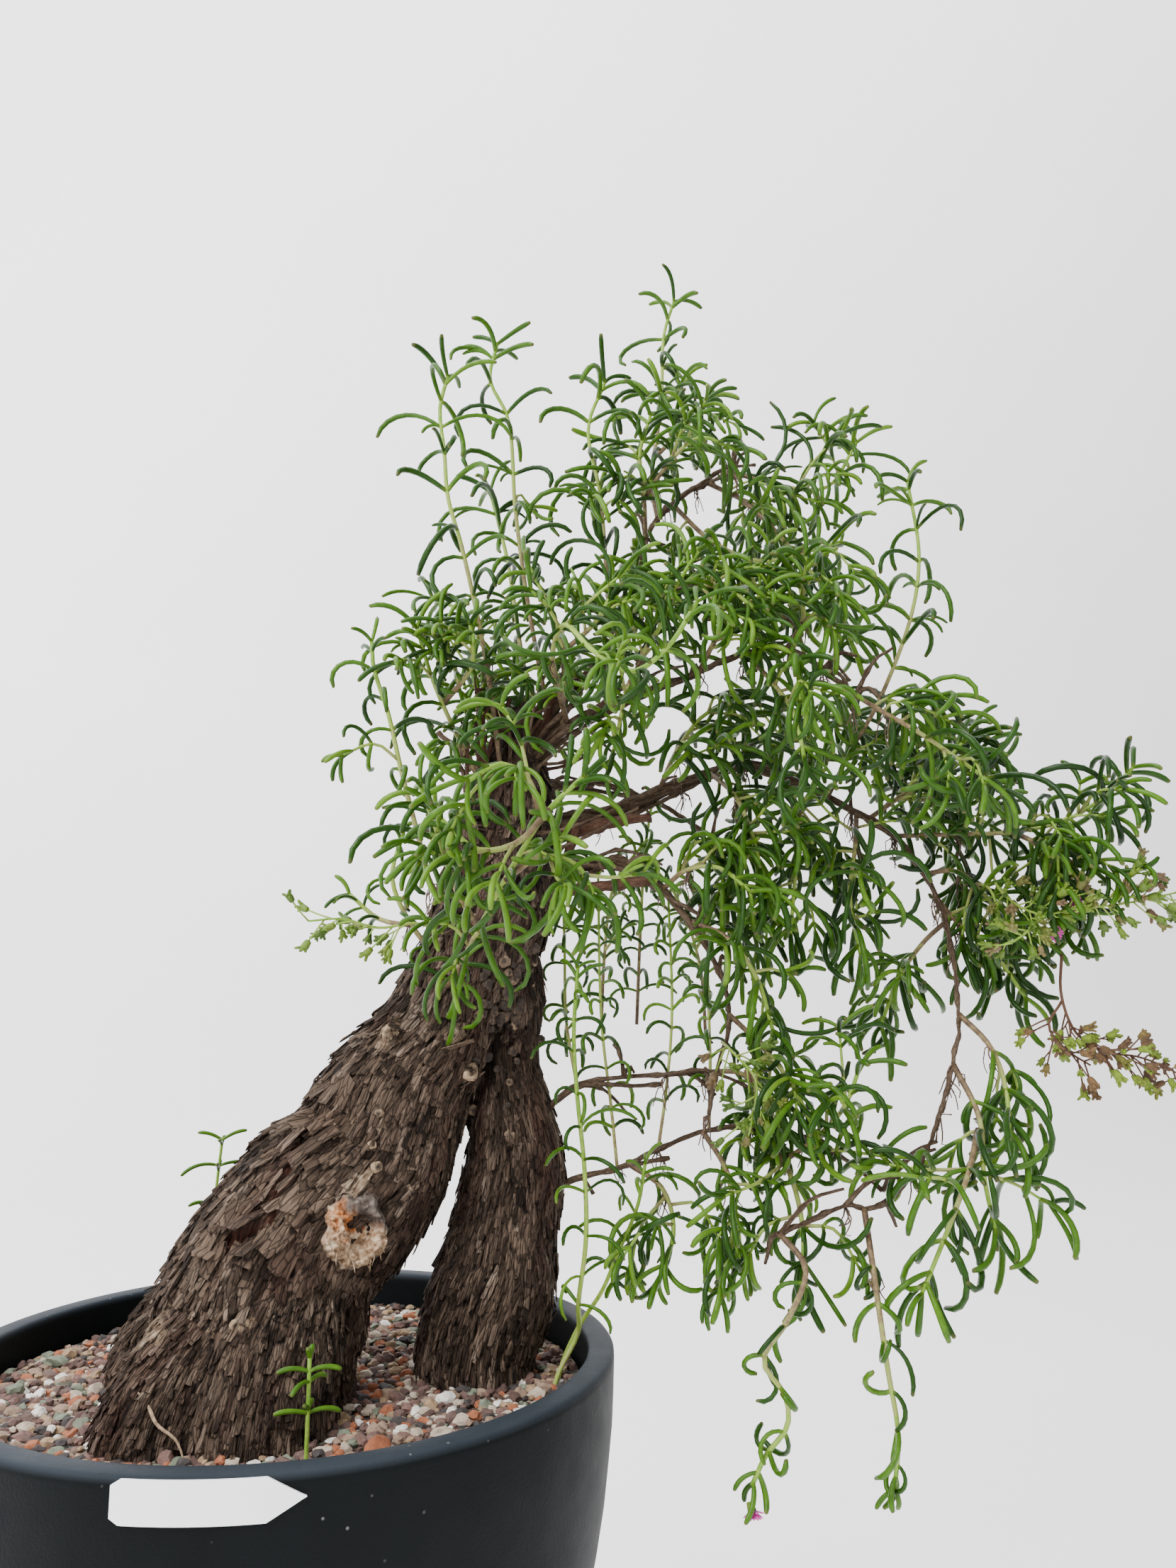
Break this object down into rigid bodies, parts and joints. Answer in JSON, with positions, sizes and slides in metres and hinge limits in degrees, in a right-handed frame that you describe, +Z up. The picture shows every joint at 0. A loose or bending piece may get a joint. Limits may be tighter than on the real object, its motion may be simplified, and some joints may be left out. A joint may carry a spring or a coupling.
{
  "type": "bonsai tree in pot",
  "caption": "Succulent shrub grown as a bonsai: a two-legged swollen caudex with arching leafy branches and small flower sprays, in a round tapered pot topped with grit.",
  "frame": {"origin": "centre of the pot's flat underside", "axes": "+Z up along the pot's axis, +X towards the side that the branches arch over, -Y towards the label at the front"},
  "size_m": [0.4967, 0.2799, 0.668],
  "materials": {
    "bark": "rough flaking bark",
    "pot": "matte charcoal",
    "soil": "loose damp soil",
    "grit": "mixed dry stones",
    "label": "plain satin",
    "leaf": "fleshy satin leaf",
    "calyx": "soft matte",
    "dried_flower": "dry matte",
    "petal": "silky"
  },
  "bodies": {
    "root": {"tree": "bark", "pot": "pot", "soil": "soil", "grit": "grit", "label": "label", "green_flower_spray": "calyx", "dried_flower_spray": "dried_flower", "left_flower_spray": "calyx", "inner_flower_spray": "calyx", "crown_left_shoot": "leaf", "crown_middle_shoot": "leaf", "crown_back_shoot": "leaf", "crown_rising_shoot": "leaf", "crown_top_shoot": "leaf", "crown_short_shoot": "leaf", "left_upright_shoot": "leaf", "left_low_shoot": "leaf", "crown_end_shoot": "leaf", "crown_arching_shoot": "leaf", "crown_trailing_shoot": "leaf", "outer_tall_shoot": "leaf", "front_short_shoot": "leaf", "head_back_shoot": "leaf", "head_fan_shoot": "leaf", "head_left_shoot": "leaf", "near_arching_shoot": "leaf", "near_tufted_shoot": "leaf", "front_rising_shoot": "leaf", "front_falling_shoot": "leaf", "front_tufted_shoot": "leaf", "outer_second_shoot": "leaf", "outer_drooping_shoot": "leaf", "outer_back_shoot": "leaf", "outer_hanging_shoot": "leaf", "outer_long_shoot": "leaf", "outer_reaching_shoot": "leaf", "far_right_shoot": "leaf", "right_tufted_shoot": "leaf", "right_drooping_shoot": "leaf", "inner_hanging_shoot": "leaf", "inner_low_shoot": "leaf", "inner_front_shoot": "leaf", "spur_shoot": "leaf", "low_inner_shoot": "leaf", "low_middle_shoot": "leaf", "low_outer_shoot": "leaf", "cascade_upper_shoot": "leaf", "cascade_middle_shoot": "leaf", "cascade_lower_shoot": "leaf", "trailing_inner_shoot": "leaf", "trailing_outer_shoot": "leaf", "near_trunk_shoot": "leaf", "back_hanging_shoot": "leaf", "tall_sucker": "leaf", "leaning_sucker": "leaf", "front_seedling": "leaf", "back_seedling": "leaf", "spray_bloom": "petal", "spray_side_bloom": "petal", "trailing_bloom": "petal"}
  },
  "joints": []
}
